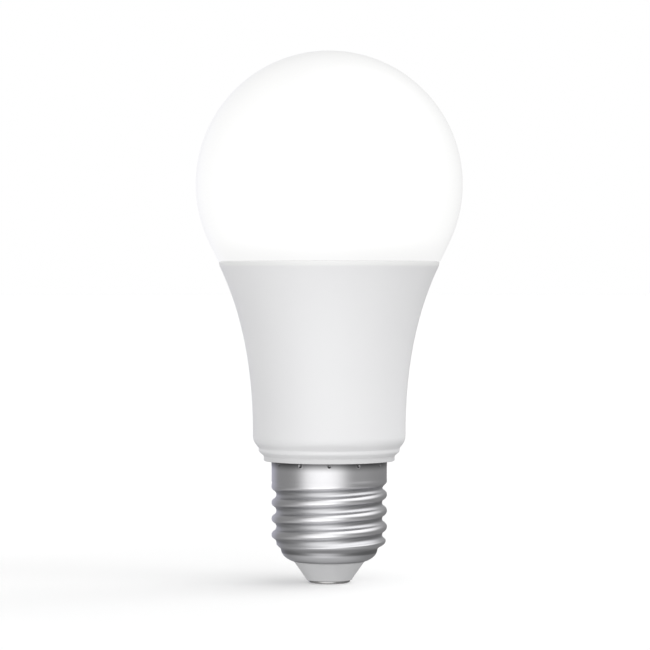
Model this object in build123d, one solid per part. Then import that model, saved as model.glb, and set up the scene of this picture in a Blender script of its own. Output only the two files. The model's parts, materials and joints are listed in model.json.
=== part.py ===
from build123d import *
import math
import os

# A screw-cap smart light bulb, upright, in millimetres.
# The origin is the tip of the centre contact and +Z points at the top of the dome.

# ------------------------------------------------------------------ driving sizes
total_height = 120.0
dome_radius = 30.1
dome_centre = total_height - dome_radius
dome_cone_angle = 25.6      # the dome runs into a cone this many degrees off vertical
dome_wall = 1.2
seam_height = 72.6          # where the dome meets the housing
seam_radius = 25.08
dome_neck_outer = 22.6
dome_neck_inner = 21.6
dome_neck_bottom = 69.7
snap_bead = 0.3

rim_radius = 24.86
flare_top_radius = 24.72
flare_top = 71.5
flare_bottom_radius = 17.25
flare_bottom = 34.0
flare_bulge_upper = 10.0    # how far down the flare keeps its upper slope
flare_bulge_lower = 15.0    # how far up the flare keeps its vertical lower end
housing_wall = 1.4
housing_bore = 23.0
housing_bore_bottom = 69.6
collar_top = 33.1
collar_groove = 30.45
collar_groove_radius = 15.93
ring_radius = 14.79
ring_bottom = 27.6

cap_radius = 13.05
cap_wall = 0.3
thread_pitch = 3.629
thread_depth = 1.1
thread_crest_height = 12.65  # height of one crest on the +X side
thread_top = 23.2            # the grooves fade out up to this height
thread_bottom = 7.6
thread_fade_top = 2.0
thread_fade_bottom = 2.8
bowl_radius = 10.95
bowl_lip_radius = 8.1
bowl_lip_height = 4.93
dimple_count = 12
dimple_height = 27.0

contact_radius = 4.74
contact_height = 0.65
insulator_tip_radius = 5.15
stem_radius = 1.5
stem_top = 6.0

sink_gap = 0.1
sink_wall = 0.8
sink_bottom = 34.5
plate_bottom = 66.9
plate_top = 67.9
pad_top = 68.1
board_top = 69.1
led_board_radius = 21.0
led_ring_radius = 16.0
leds_per_white = 9
screw_ring_radius = 12.2
screw_angles = (210.0, 330.0, 270.0)

driver_front = -1.4         # the face that carries the tall parts, looking along +Y
driver_back = -2.6
tongue_half_width = 9.0
driver_half_width = 12.5
driver_bottom = 10.5
driver_top = 60.0
radio_back = 8.6
radio_front = 9.4
radio_half_width = 8.0
radio_bottom = 52.0
radio_top = 76.0

lead_wire = 0.3             # radius of the bare leads


# ------------------------------------------------------------------ helpers
def disc(radius, bottom, top, x=0.0, y=0.0):
    """An upright cylinder between two heights."""
    return Pos(x, y, (bottom + top) / 2) * Cylinder(radius, top - bottom)


def block(x_range, y_range, z_range):
    """A box between two values on each axis."""
    ranges = (x_range, y_range, z_range)
    sizes = [high - low for low, high in ranges]
    middles = [(high + low) / 2 for low, high in ranges]
    return Pos(*middles) * Box(*sizes)


def turned(*lines):
    """A solid of revolution from a closed outline of (radius, height) lines."""
    return revolve(Plane.XZ * make_face(Curve() + list(lines)), Axis.Z)


def turned_polygon(*points):
    """A solid of revolution from straight (radius, height) steps."""
    return turned(Polyline(*points, close=True))


def tube(outer, inner, bottom, top, x=0.0, y=0.0):
    """An upright tube between two heights."""
    return disc(outer, bottom, top, x, y) - disc(inner, bottom - 1, top + 1, x, y)


def bent_wire(points, radius, bend):
    """A round wire along straight runs that are joined by arcs."""
    route = FilletPolyline(*points, radius=bend)
    start = Plane(origin=route @ 0, z_dir=route % 0)
    return sweep(start * Circle(radius), path=route)


def flare(inset=0.0):
    """The concave side of the housing, moved inward by inset."""
    slope = math.tan(math.radians(dome_cone_angle))
    top = (flare_top_radius - inset, flare_top)
    upper = (top[0] - flare_bulge_upper * slope, flare_top - flare_bulge_upper)
    bottom = (flare_bottom_radius - inset, flare_bottom)
    lower = (bottom[0], flare_bottom + flare_bulge_lower)
    return Bezier(top, upper, lower, bottom)


def flare_radius(height):
    """Outside radius of the flare at one height, found by halving."""
    curve = flare()
    low = 0.0
    high = 1.0
    for _ in range(40):
        middle = (low + high) / 2
        if (curve @ middle).Y > height:
            low = middle
        else:
            high = middle
    return (curve @ low).X


# ------------------------------------------------------------------ the outer shell
def diffuser_dome():
    """Opal dome: most of a sphere, a short cone, a shoulder and a neck with a snap bead."""
    angle = math.radians(dome_cone_angle)
    inner_radius = dome_radius - dome_wall
    outer_tangent = (dome_radius * math.cos(angle), dome_centre - dome_radius * math.sin(angle))
    inner_tangent = (inner_radius * math.cos(angle), dome_centre - inner_radius * math.sin(angle))
    shoulder = seam_height + dome_wall
    inner_cone_end = inner_tangent[0] - (inner_tangent[1] - shoulder) * math.tan(angle)
    arc_size = 90 + dome_cone_angle
    bead_top = dome_neck_bottom + 1.2
    bead_middle = dome_neck_bottom + 0.7
    bead_bottom = dome_neck_bottom + 0.2
    edge = 0.2
    return turned(
        CenterArc((0, dome_centre), dome_radius, -dome_cone_angle, arc_size),
        Line((0, total_height), (0, total_height - dome_wall)),
        CenterArc((0, dome_centre), inner_radius, -dome_cone_angle, arc_size),
        Polyline(
            inner_tangent,
            (inner_cone_end, shoulder),
            (dome_neck_inner, shoulder),
            (dome_neck_inner, dome_neck_bottom),
            (dome_neck_outer, dome_neck_bottom),
            (dome_neck_outer, bead_bottom),
            (dome_neck_outer + snap_bead, bead_middle),
            (dome_neck_outer, bead_top),
            (dome_neck_outer, seam_height),
            (seam_radius - edge, seam_height),
            (seam_radius + edge * math.tan(angle), seam_height + edge),
            outer_tangent,
        ),
    )


def seal_ring():
    """Silicone bead that glues the dome's neck into the housing."""
    return tube(housing_bore, dome_neck_outer, 71.3, 72.3)


def housing_shell():
    """Flared plastic housing: rim, flare, stepped collar, and the neck that the cap is crimped on."""
    neck_upper = cap_radius - cap_wall - 0.05
    neck_lower = cap_radius - thread_depth - cap_wall - 0.15
    neck_inner = 10.2
    neck_bottom = 10.2
    rim_edge = 0.25
    outside = [
        Line((housing_bore, seam_height), (rim_radius - rim_edge, seam_height)),
        Line((rim_radius - rim_edge, seam_height), (rim_radius, seam_height - rim_edge)),
        Line((rim_radius, seam_height - rim_edge), (flare_top_radius, flare_top)),
        flare(),
        Line((flare_bottom_radius, flare_bottom), (flare_bottom_radius, collar_top)),
        ThreePointArc((flare_bottom_radius, collar_top), (16.93, 31.85), (16.02, 30.6)),
        Polyline(
            (16.02, 30.6),
            (collar_groove_radius, collar_groove),
            (collar_groove_radius, collar_groove - 0.4),
        ),
        ThreePointArc((collar_groove_radius, collar_groove - 0.4), (15.6, 29.4), (14.95, 28.88)),
        Polyline(
            (14.95, 28.88),
            (ring_radius, 28.6),
            (ring_radius, ring_bottom + 0.2),
            (ring_radius - 0.2, ring_bottom),
            (neck_upper, ring_bottom),
            (neck_upper, thread_top),
            (neck_lower, thread_top - 1.8),
            (neck_lower, neck_bottom),
            (neck_inner, neck_bottom),
            (neck_inner, ring_bottom),
            (flare_bottom_radius - housing_wall - 0.45, collar_top - 1.3),
            (flare_bottom_radius - housing_wall, flare_bottom),
        ),
    ]
    inside = [
        flare(housing_wall),
        Polyline(
            (flare_top_radius - housing_wall, flare_top),
            (housing_bore, flare_top),
            (housing_bore, seam_height),
        ),
    ]
    shell = turned(*outside, *inside)
    shell -= disc(housing_bore, housing_bore_bottom, seam_height + 1)
    groove = block((-12.0, -10.5), (-1.5, -0.3), (neck_bottom - 1, 20.2))
    shell -= groove
    for side in (-1, 1):
        for low, high in ((driver_back - 0.8, driver_back - 0.05), (driver_front + 0.05, driver_front + 0.8)):
            edges = sorted((side * (tongue_half_width - 0.5), side * (neck_inner + 0.4)))
            shell += block(edges, (low, high), (17.0, ring_bottom - 0.6)) & disc(neck_inner + 0.2, 0, 30)
    return shell


# ------------------------------------------------------------------ the screw cap
def fade(amount):
    """Zero below 0, one above 1, smooth between."""
    clipped = min(1.0, max(0.0, amount))
    return clipped * clipped * (3 - 2 * clipped)


def thread_wave(distance):
    """Depth below the crest at an axial distance from it: two equal arcs that meet tangentially."""
    half = thread_pitch / 2
    offset = abs((distance + half) % thread_pitch - half)
    arc = (thread_depth ** 2 + half ** 2) / (4 * thread_depth)
    if offset <= half / 2:
        return arc - math.sqrt(arc ** 2 - offset ** 2)
    return thread_depth - arc + math.sqrt(arc ** 2 - (half - offset) ** 2)


def thread_radius(angle, height):
    """Outside radius of the threaded sleeve at one angle and height."""
    crest = thread_crest_height + thread_pitch * angle / (2 * math.pi)
    depth = thread_wave(height - crest) * fade((thread_top - height) / thread_fade_top)
    root = cap_radius - thread_depth
    ridge = (cap_radius - depth - root) * fade((height - thread_bottom + 0.2) / thread_fade_bottom)
    base = root - (root - bowl_radius) * (1 - fade((height - thread_bottom) / 1.3))
    return base + ridge


def thread_section(height, inset):
    """One level cross-section of the threaded sleeve."""
    count = 40
    points = []
    for step in range(count):
        angle = 2 * math.pi * step / count
        radius = thread_radius(angle, height) - inset
        points.append(Vector(radius * math.cos(angle), radius * math.sin(angle), height))
    shares = [step / count for step in range(count + 1)]
    return Wire([Edge.make_spline(points, parameters=shares, periodic=True)])


def filled_cap(inset):
    """A solid body with the cap's outside moved inward by inset: band, thread and bowl."""
    step_in = 0.03
    top = thread_top + 0.3
    levels = 72
    heights = [thread_bottom + (top - thread_bottom) * step / levels for step in range(levels + 1)]
    thread = Solid.make_loft([thread_section(height, inset + step_in) for height in heights])
    band = disc(cap_radius - inset, thread_top + 0.2, ring_bottom)
    bowl_side = bowl_radius - inset - 2 * step_in
    lip = (bowl_lip_radius, bowl_lip_height + inset)
    bowl = turned(
        ThreePointArc((bowl_side, thread_bottom - 0.15), (10.17 - 0.75 * inset, 6.1 + 0.75 * inset), lip),
        Polyline(lip, (0, lip[1]), (0, thread_bottom + 0.4), (bowl_side, thread_bottom + 0.4)),
        Line((bowl_side, thread_bottom + 0.4), (bowl_side, thread_bottom - 0.15)),
    )
    return thread + band + bowl


def cap_shell():
    """Rolled metal screw shell: plain crimped band, rolled thread and a rounded bowl below."""
    shell = filled_cap(0.0) - filled_cap(cap_wall)
    shell -= disc(cap_radius - cap_wall, ring_bottom - 1, ring_bottom + 1)
    shell -= disc(bowl_lip_radius, bowl_lip_height - 1, bowl_lip_height + 1)
    dimple_depth = 0.2
    dimple_half_width = 0.45
    dimple_ball = (dimple_depth ** 2 + dimple_half_width ** 2) / (2 * dimple_depth)
    reach = cap_radius + dimple_ball - dimple_depth
    for step in range(dimple_count):
        angle = 360 * step / dimple_count - 90
        shell -= Rot(0, 0, angle) * Pos(reach, 0, dimple_height) * Sphere(dimple_ball)
    return shell


def cap_insulator():
    """Moulded insulator: the visible cone under the shell and a cup that fills the shell's bowl."""
    gap = 0.1
    bowl_inside = bowl_radius - cap_wall - gap
    cone_top = bowl_lip_height - 0.35
    return turned(
        Polyline(
            (insulator_tip_radius - 0.1, contact_height),
            (insulator_tip_radius, contact_height + 0.1),
            (7.85, cone_top),
            (bowl_lip_radius - 0.15, bowl_lip_height),
            (bowl_lip_radius - 0.15, bowl_lip_height + cap_wall + gap),
            (bowl_lip_radius, bowl_lip_height + cap_wall + gap),
        ),
        ThreePointArc(
            (bowl_lip_radius, bowl_lip_height + cap_wall + gap),
            (9.83, 6.41),
            (bowl_inside, thread_bottom - 0.1),
        ),
        Polyline(
            (bowl_inside, thread_bottom - 0.1),
            (bowl_inside, 8.5),
            (8.9, 8.5),
            (8.9, 5.6),
            (7.0, 3.8),
            (stem_radius + 1.1, 3.8),
            (stem_radius + 1.1, 4.6),
            (stem_radius, 4.6),
            (stem_radius, contact_height),
            (insulator_tip_radius - 0.1, contact_height),
        ),
    )


def centre_contact():
    """Contact disc with a slightly domed face and a hollow stem for the live wire."""
    flat_radius = 3.2
    return turned(
        Line((0, 0), (flat_radius, 0)),
        TangentArc((flat_radius, 0), (contact_radius, 0.35), tangent=(1, 0)),
        Polyline(
            (contact_radius, 0.35),
            (contact_radius, contact_height),
            (stem_radius, contact_height),
            (stem_radius, stem_top),
            (0.65, stem_top),
            (0.65, 1.5),
            (0, 1.5),
            (0, 0),
        ),
    )


# ------------------------------------------------------------------ the light engine
def heat_sink_cup():
    """Thin aluminium cup that lines the flare and carries the light engine's heat to it."""
    outer = sink_gap + housing_wall
    inner = outer + sink_wall
    lining = turned(
        flare(outer),
        Line((flare_bottom_radius - outer, flare_bottom), (flare_bottom_radius - inner, flare_bottom)),
        flare(inner),
        Line((flare_top_radius - inner, flare_top), (flare_top_radius - outer, flare_top)),
    )
    return lining & disc(dome_radius, sink_bottom, plate_bottom)


def radio_slot():
    """The opening that the radio board stands through."""
    half = radio_half_width + 0.4
    return block((-half, half), (radio_back - 0.3, radio_front + 0.3), (plate_bottom - 5, board_top + 1))


def header_slot():
    """The opening that the header pins pass through."""
    return block((-5.4, 5.4), (-2.4, 0.2), (plate_bottom - 5, board_top + 1))


def at_screws(shape):
    """Copies of a shape at each board screw."""
    copies = []
    for angle in screw_angles:
        copies.append(Rot(0, 0, angle) * Pos(screw_ring_radius, 0, 0) * shape)
    return copies


def heat_spreader_plate():
    """Aluminium plate on the cup's rim, with a pilot ring inside the cup and screw bosses."""
    plate_radius = flare_radius(plate_bottom) - sink_gap - housing_wall
    pilot_bottom = plate_bottom - 2.0
    pilot_radius = flare_radius(pilot_bottom) - sink_gap - housing_wall - sink_wall - 0.05
    plate = disc(plate_radius, plate_bottom, plate_top)
    plate += tube(pilot_radius, pilot_radius - 0.9, pilot_bottom, plate_bottom)
    for boss in at_screws(disc(2.6, plate_bottom - 3, plate_bottom)):
        plate += boss
    for hole in at_screws(disc(1.25, plate_bottom - 4, plate_top + 1)):
        plate -= hole
    return plate - radio_slot() - header_slot()


def thermal_pad():
    """Soft grey pad between the plate and the board."""
    pad = disc(20.2, plate_top, pad_top) - radio_slot() - header_slot()
    for hole in at_screws(disc(1.6, plate_top - 1, pad_top + 1)):
        pad -= hole
    return pad


def led_board():
    """Round aluminium-core board with a slot for the radio board and three screw holes."""
    board = disc(led_board_radius, pad_top, board_top) - radio_slot() - header_slot()
    for hole in at_screws(disc(1.4, pad_top - 1, board_top + 1)):
        board -= hole
    return board


def at_leds(shape, offset):
    """Copies of a shape at every second place on the ring of light sources."""
    copies = []
    for step in range(leds_per_white):
        angle = 360 * (step + offset / 2) / leds_per_white + 10
        copies.append(Rot(0, 0, angle) * Pos(led_ring_radius, 0, 0) * shape)
    return copies


def led_packages():
    """White moulded packages, warm and cool ones in turn, each with a shallow round well."""
    package = Pos(0, 0, board_top + 0.35) * Box(2.8, 3.5, 0.7)
    package -= disc(1.15, board_top + 0.3, board_top + 1)
    return Compound(at_leds(package, 0) + at_leds(package, 1))


def phosphor(offset):
    """The phosphor that fills the wells of every second package."""
    return Compound(at_leds(disc(1.15, board_top + 0.3, board_top + 0.66), offset))


def led_board_screws():
    """Three pan-head screws with a cross recess."""
    head = turned(
        Line((0, board_top), (2.2, board_top)),
        Line((2.2, board_top), (2.2, board_top + 0.5)),
        ThreePointArc((2.2, board_top + 0.5), (1.5, board_top + 1.15), (0, board_top + 1.4)),
        Line((0, board_top + 1.4), (0, board_top)),
    )
    screw = head + disc(1.25, plate_bottom - 2.8, board_top)
    recess = Pos(0, 0, board_top + 1.2) * (Box(2.0, 0.45, 1.2) + Box(0.45, 2.0, 1.2))
    return Compound(at_screws(screw - recess))


def pin_places():
    """Sideways places of the four header pins."""
    return [(step - 1.5) * 2.54 for step in range(4)]


def header_pins():
    """Four square pins from the driver board up through the light board."""
    pins = []
    for place in pin_places():
        edges = (place - 0.32, place + 0.32)
        pins.append(block(edges, (driver_front, driver_front + 0.64), (57.2, 72.0)))
    return Compound(pins)


def led_connector():
    """Push-on socket on the light board that takes the header pins."""
    middle = driver_front + 0.32
    socket = block((-6.2, 6.2), (middle - 1.9, middle + 1.9), (board_top, 71.4))
    socket -= block((-5.4, 5.4), (middle - 1.1, middle + 1.1), (70.4, 72))
    for place in pin_places():
        edges = (place - 0.34, place + 0.34)
        socket -= block(edges, (middle - 0.34, middle + 0.34), (board_top - 1, 72))
    return socket


# ------------------------------------------------------------------ the driver
def driver_board():
    """Upright driver board: a narrow tongue in the cap and a wide part in the flare."""
    outline = Polyline(
        (-tongue_half_width, driver_bottom),
        (tongue_half_width, driver_bottom),
        (tongue_half_width, 30.5),
        (driver_half_width, 34.5),
        (driver_half_width, driver_top),
        (-driver_half_width, driver_top),
        (-driver_half_width, 34.5),
        (-tongue_half_width, 30.5),
        close=True,
    )
    face = Pos(0, driver_front, 0) * (Plane.XZ * make_face(outline))
    return extrude(face, amount=driver_front - driver_back)


def can_capacitor(radius, bottom, top, x, leg_spacing):
    """Electrolytic can beside the board, with a rolled groove, a vent cross and two bent legs."""
    y = driver_front + radius + 0.1
    can = disc(radius, bottom, top, x, y)
    groove = Pos(x, y, bottom + 1.6) * Torus(radius + 0.25, 0.45)
    can -= groove
    can -= Pos(x, y, top) * (Box(radius, 0.2, 0.3) + Box(0.2, radius, 0.3))
    can = fillet(can.edges().filter_by(GeomType.CIRCLE).group_by(Axis.Z)[-1], 0.4)
    for side in (-1, 1):
        leg_x = x + side * leg_spacing / 2
        route = [(leg_x, y, bottom), (leg_x, y, bottom - 1.4), (leg_x, driver_front, bottom - 1.4)]
        can += bent_wire(route, lead_wire, 0.7)
    return can


def varistor():
    """Blue surge-protection disc standing off the board on two legs."""
    y = driver_front + 3.6
    body = Pos(-6.6, y, 21) * Rot(0, 90, 0) * Cylinder(3.0, 2.6)
    body = fillet(body.edges().filter_by(GeomType.CIRCLE), 0.8)
    for height in (19.8, 22.2):
        leg = Pos(-6.6, driver_front + 0.5, height) * Rot(90, 0, 0) * Cylinder(lead_wire, 1.0)
        body += leg
    return body


def fusible_resistor():
    """Fusible resistor on the live wire, standing beside the large capacitor."""
    body = disc(1.45, 13.5, 20.5, 6.5, 1.2)
    body += disc(1.7, 13.0, 14.6, 6.5, 1.2)
    body += disc(1.7, 19.4, 21.0, 6.5, 1.2)
    body += disc(lead_wire, 12.0, 13.0, 6.5, 1.2)
    route = [(6.5, 1.2, 21.0), (6.5, 1.2, 23.0), (6.5, driver_front, 23.0)]
    return body + bent_wire(route, lead_wire, 0.8)


def resistor_sleeve():
    """Heat-shrink sleeve around the fusible resistor."""
    return tube(2.0, 1.75, 11.6, 21.8, 6.5, 1.2)


def film_capacitor():
    """Boxed film capacitor across the supply."""
    box = block((-7.6, 1.8), (driver_front + 0.3, 4.4), (31.6, 38.8))
    box = fillet(box.edges(), 0.4)
    for x in (-6.6, 0.8):
        box += Pos(x, driver_front + 0.4, 35.2) * Rot(90, 0, 0) * Cylinder(lead_wire, 0.8)
    return box


def filter_choke_core():
    """Ferrite drum of the filter choke, its axis square to the board."""
    drum = Cylinder(3.6, 7.6) - (Cylinder(4.2, 5.2) - Cylinder(1.8, 5.2))
    return Pos(7.6, driver_front + 4.1, 38.2) * Rot(90, 0, 0) * drum


def filter_choke_winding():
    """Copper winding in the waist of the choke's drum."""
    coil = Cylinder(3.1, 5.1) - Cylinder(1.85, 6)
    return Pos(7.6, driver_front + 4.1, 38.2) * Rot(90, 0, 0) * coil


transformer_place = Pos(-5.0, driver_front + 4.8, 47.4)


def transformer_core():
    """Ferrite frame with a round middle leg."""
    frame = Box(13.0, 5.0, 12.2) - Box(9.8, 6.0, 8.8)
    return transformer_place * (frame + Cylinder(1.9, 10.0))


def transformer_bobbin():
    """Plastic bobbin with two square flanges and a row of pins' base."""
    bobbin = Cylinder(2.6, 8.6) - Cylinder(1.95, 9)
    for side in (-1, 1):
        flange = Box(9.0, 9.0, 0.8) - Cylinder(1.95, 2)
        bobbin += Pos(0, 0, side * 3.9) * flange
    return transformer_place * bobbin


def transformer_winding():
    """Enamelled winding under yellow tape."""
    return transformer_place * (Cylinder(4.2, 6.9) - Cylinder(2.65, 8))


def chip(x, z, width, height, thickness, legs, pitch):
    """Flat chip on the back of the driver board, with a row of legs on its left and right."""
    body = block(
        (x - width / 2, x + width / 2),
        (driver_back - thickness, driver_back - 0.1),
        (z - height / 2, z + height / 2),
    )
    body = chamfer(body.faces().sort_by(Axis.Y)[0].edges(), 0.2)
    for side in (-1, 1):
        for step in range(legs):
            leg_z = z + (step - (legs - 1) / 2) * pitch
            edge = x + side * width / 2
            reach = sorted((edge - side * 0.3, edge + side * 1.0))
            body += block(reach, (driver_back - 0.25, driver_back), (leg_z - 0.2, leg_z + 0.2))
            upright = sorted((edge - side * 0.3, edge + side * 0.35))
            body += block(upright, (driver_back - 0.9, driver_back), (leg_z - 0.2, leg_z + 0.2))
    return body


def dimming_mosfets():
    """Two small transistors that dim the warm and the cool light."""
    return Compound([chip(-7.5, 54.0, 2.9, 3.0, 1.3, 2, 1.9), chip(-7.5, 47.5, 2.9, 3.0, 1.3, 2, 1.9)])


def chip_parts(places, length, width, thickness):
    """A group of small surface-mounted bricks on the back of the driver board."""
    bricks = []
    for x, z in places:
        bricks.append(
            block(
                (x - length / 2, x + length / 2),
                (driver_back - thickness, driver_back),
                (z - width / 2, z + width / 2),
            )
        )
    return Compound(bricks)


def smd_resistors():
    """Chip resistors in two rows."""
    places = [(x, z) for z in (56.6, 42.0) for x in (-3.0, 0.4, 3.8, 7.2)]
    return chip_parts(places, 2.0, 1.25, 0.5)


def smd_capacitors():
    """Ceramic chip capacitors."""
    places = [(x, 52.6) for x in (-1.6, 2.0, 5.6)] + [(-4.5, 27.0), (4.5, 27.0)]
    return chip_parts(places, 2.0, 1.25, 1.0)


def rectifier_diode():
    """Output diode in a flat moulded case."""
    return chip(6.0, 37.0, 4.3, 2.6, 2.2, 1, 1.0)


# ------------------------------------------------------------------ the radio
def radio_board():
    """Radio board that stands through the light board, so that its aerial is inside the dome."""
    half = radio_half_width
    return block((-half, half), (radio_back, radio_front), (radio_bottom, radio_top))


def radio_shield():
    """Pressed metal shield can over the radio circuit."""
    can = block((-6.6, 6.6), (radio_front, radio_front + 2.0), (54.5, 65.5))
    inside = block((-6.35, 6.35), (radio_front - 1, radio_front + 1.75), (54.75, 65.25))
    return can - inside


def radio_chip():
    """Radio processor under the shield."""
    return block((-4.6, 0.4), (radio_front, radio_front + 0.9), (57.5, 62.5))


def radio_crystal():
    """Clock crystal under the shield."""
    return block((2.4, 5.6), (radio_front, radio_front + 0.8), (58.8, 61.3))


def antenna_trace():
    """Meandered copper aerial on the part of the board that is inside the dome."""
    strip = 0.5
    rise = 4.2
    bottom = 70.6
    step_width = 1.8
    face = (radio_front, radio_front + 0.05)
    steps = 7
    left = -steps * step_width / 2
    trace = block((left - strip / 2, left + strip / 2), face, (bottom, bottom + rise))
    for step in range(steps):
        start = left + step * step_width
        level = bottom + rise if step % 2 == 0 else bottom
        bar = (start - strip / 2, start + step_width + strip / 2)
        upright = (start + step_width - strip / 2, start + step_width + strip / 2)
        trace += block(bar, face, (level - strip / 2, level + strip / 2))
        trace += block(upright, face, (bottom - strip / 2, bottom + rise + strip / 2))
    return trace


def radio_pins():
    """Row of bridging pins between the driver board and the radio board."""
    pins = []
    for step in range(6):
        place = (step - 2.5) * 2.0 + 2.0
        edges = (place - 0.25, place + 0.25)
        pins.append(block(edges, (driver_front, radio_back), (56.1, 56.6)))
    return Compound(pins)


# ------------------------------------------------------------------ supply wires
def live_lead():
    """Insulated wire from the contact's stem to the fusible resistor."""
    route = [(0, 0, 2.0), (0, 0, 8.4), (6.5, 1.2, 8.8), (6.5, 1.2, 12.0)]
    return bent_wire(route, 0.55, 1.5)


def neutral_lead():
    """Bare wire from the driver board, folded over the neck's edge and pinched by the screw shell."""
    route = [(-7.0, -0.9, 15.5), (-7.0, -0.9, 9.35), (-11.05, -0.9, 9.35), (-11.05, -0.9, 19.5)]
    return bent_wire(route, 0.45, 1.2)


def solder_joints():
    """Solder cones on the back of the driver board, one behind each soldered leg."""
    places = [
        (6.5, 23.0), (-6.6, 19.8), (-6.6, 22.2), (-1.25, 11.6), (1.25, 11.6),
        (-6.6, 35.2), (0.8, 35.2),
    ]
    cones = []
    for x, z in places:
        cone = Cone(0.75, 0.3, 0.7)
        cones.append(Pos(x, driver_back - 0.35, z) * Rot(90, 0, 0) * cone)
    return Compound(cones)


# ------------------------------------------------------------------ the assembly
nodes = {
    "diffuser_dome": diffuser_dome(),
    "seal_ring": seal_ring(),
    "housing_shell": housing_shell(),
    "cap_shell": cap_shell(),
    "cap_insulator": cap_insulator(),
    "centre_contact": centre_contact(),
    "heat_sink_cup": heat_sink_cup(),
    "heat_spreader_plate": heat_spreader_plate(),
    "thermal_pad": thermal_pad(),
    "led_board": led_board(),
    "led_packages": led_packages(),
    "warm_phosphor": phosphor(0),
    "cool_phosphor": phosphor(1),
    "led_board_screws": led_board_screws(),
    "led_connector": led_connector(),
    "header_pins": header_pins(),
    "driver_board": driver_board(),
    "bulk_capacitor": can_capacitor(4.0, 13.0, 26.0, 0.0, 2.5),
    "output_capacitor": can_capacitor(3.15, 44.5, 55.5, 6.8, 2.0),
    "varistor": varistor(),
    "fusible_resistor": fusible_resistor(),
    "resistor_sleeve": resistor_sleeve(),
    "film_capacitor": film_capacitor(),
    "filter_choke_core": filter_choke_core(),
    "filter_choke_winding": filter_choke_winding(),
    "transformer_core": transformer_core(),
    "transformer_bobbin": transformer_bobbin(),
    "transformer_winding": transformer_winding(),
    "bridge_rectifier": chip(0.0, 20.0, 3.9, 4.7, 1.5, 2, 2.5),
    "controller_chip": chip(2.0, 47.4, 3.9, 4.9, 1.5, 4, 1.27),
    "dimming_mosfets": dimming_mosfets(),
    "rectifier_diode": rectifier_diode(),
    "smd_resistors": smd_resistors(),
    "smd_capacitors": smd_capacitors(),
    "radio_board": radio_board(),
    "radio_shield": radio_shield(),
    "radio_chip": radio_chip(),
    "radio_crystal": radio_crystal(),
    "antenna_trace": antenna_trace(),
    "radio_pins": radio_pins(),
    "live_lead": live_lead(),
    "neutral_lead": neutral_lead(),
    "solder_joints": solder_joints(),
}

os.makedirs("parts", exist_ok=True)
for name, shape in nodes.items():
    export_step(shape, os.path.join("parts", name + ".step"))
    print(name, round(shape.volume, 2))
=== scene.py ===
# %% [markdown]
# # A screw-cap smart light bulb
# The bulb is an opal dome on a flared white housing, with a rolled metal screw cap, an insulator and a
# centre contact below. Inside are a light board, a driver and a radio. The measured model brings every
# piece at its true size and place. This script gives the pieces their looks: the five that show are
# modelled again as fine meshes, and every piece gets a finish worked out from nodes.

# %% Load the measured model
import json
import math

import bpy
import mathutils
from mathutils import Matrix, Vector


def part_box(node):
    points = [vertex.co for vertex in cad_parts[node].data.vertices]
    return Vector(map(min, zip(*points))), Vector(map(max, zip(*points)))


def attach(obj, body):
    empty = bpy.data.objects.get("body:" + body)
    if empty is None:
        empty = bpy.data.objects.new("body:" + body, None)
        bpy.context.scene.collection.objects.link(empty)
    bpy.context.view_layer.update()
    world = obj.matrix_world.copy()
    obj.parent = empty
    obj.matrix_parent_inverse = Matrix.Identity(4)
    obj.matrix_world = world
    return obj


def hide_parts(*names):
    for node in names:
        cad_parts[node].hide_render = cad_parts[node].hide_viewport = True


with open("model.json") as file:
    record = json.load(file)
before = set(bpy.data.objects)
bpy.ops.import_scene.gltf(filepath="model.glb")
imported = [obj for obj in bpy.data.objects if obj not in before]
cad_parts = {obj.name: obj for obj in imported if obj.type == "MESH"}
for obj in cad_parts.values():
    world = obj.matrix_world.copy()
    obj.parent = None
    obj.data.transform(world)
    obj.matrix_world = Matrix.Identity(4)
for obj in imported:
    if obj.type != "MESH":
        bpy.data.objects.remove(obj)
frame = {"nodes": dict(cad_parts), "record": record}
nodes = frame["nodes"]
slots = {part["node"]: part["material_slot"] for part in frame["record"]["subparts"]}
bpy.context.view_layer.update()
mm = 0.001

# %% [markdown]
# ## Turning a piece on a lathe
# All five outer pieces are round, so each starts as an outline from the axis to the rim and is spun
# about the bulb's own axis. By hand, a plane is merged to one point, the point is extruded along the
# outline, and Spin turns the chain into a surface. Straight runs, arcs and one curve with handles are
# enough for every outline, so each of these gets a small function that returns its points.

# %% Points along straight runs, arcs and handled curves
def line(start, end, count=1):
    """Points from start towards end, without the end itself."""
    points = []
    for step in range(count):
        share = step / count
        points.append(tuple(a + (b - a) * share for a, b in zip(start, end)))
    return points


def arc(centre, radius, first, last, count):
    """Points on an arc between two angles in degrees, with both ends."""
    points = []
    for step in range(count + 1):
        angle = math.radians(first + (last - first) * step / count)
        points.append((centre[0] + radius * math.cos(angle), centre[1] + radius * math.sin(angle)))
    return points


def handled_curve(start, handle_a, handle_b, end, count):
    """Points on a curve with two handles, with both ends."""
    points = []
    for step in range(count + 1):
        t = step / count
        weights = ((1 - t) ** 3, 3 * t * (1 - t) ** 2, 3 * t * t * (1 - t), t ** 3)
        corners = (start, handle_a, handle_b, end)
        points.append(tuple(sum(w * c[axis] for w, c in zip(weights, corners)) for axis in (0, 1)))
    return points


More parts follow.
